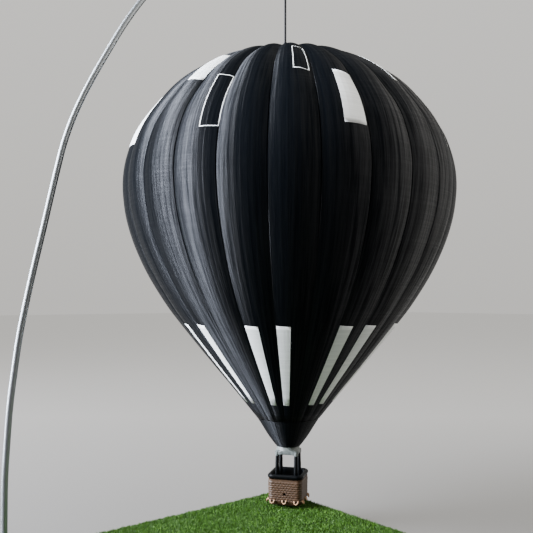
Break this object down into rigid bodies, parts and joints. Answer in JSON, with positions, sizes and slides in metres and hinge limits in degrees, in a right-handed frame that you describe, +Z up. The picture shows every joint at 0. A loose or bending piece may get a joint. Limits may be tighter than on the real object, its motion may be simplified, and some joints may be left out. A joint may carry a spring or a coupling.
{
  "type": "hot air balloon desk model",
  "caption": "Printed desk model of a hot air balloon, hung by a thread from a bent steel rod over a turfed square board; black gored envelope with white stripes",
  "frame": {"origin": "Centre of the base board's underside", "axes": "+Z up from the board to the rod's crook, +X and +Y along the board's sides; the balloon hangs over the +X +Y corner and the rod stands in the -X +Y corner"},
  "size_m": [0.2848, 0.2735, 0.3512],
  "materials": {
    "black_print": "satin",
    "white_print": "satin",
    "brown_print": "matte",
    "steel": "polished",
    "thread": "matte",
    "turf": "matte",
    "wood": "satin"
  },
  "bodies": {
    "root": {"base_board": "wood", "turf_mat": "turf", "rod_socket": "steel", "bent_rod": "steel", "hanging_thread": "thread", "crown_cap": "black_print", "envelope": "black_print", "lower_stripe_01": "white_print", "lower_stripe_02": "white_print", "lower_stripe_03": "white_print", "lower_stripe_04": "white_print", "lower_stripe_05": "white_print", "lower_stripe_06": "white_print", "lower_stripe_07": "white_print", "lower_stripe_08": "white_print", "lower_stripe_09": "white_print", "lower_stripe_10": "white_print", "lower_stripe_11": "white_print", "lower_stripe_12": "white_print", "lower_stripe_13": "white_print", "lower_stripe_14": "white_print", "lower_stripe_15": "white_print", "lower_stripe_16": "white_print", "high_frame_1": "white_print", "high_panel_1": "white_print", "low_panel_1": "white_print", "low_frame_1": "white_print", "high_frame_2": "white_print", "high_panel_2": "white_print", "low_panel_2": "white_print", "low_frame_2": "white_print", "high_frame_3": "white_print", "high_panel_3": "white_print", "low_panel_3": "white_print", "low_frame_3": "white_print", "high_frame_4": "white_print", "high_panel_4": "white_print", "low_panel_4": "white_print", "low_frame_4": "white_print", "mouth_cone": "black_print", "burner_collar": "white_print", "post_1": "black_print", "post_2": "black_print", "post_3": "black_print", "post_4": "black_print", "basket_shell": "brown_print", "basket_liner": "black_print"}
  },
  "joints": []
}
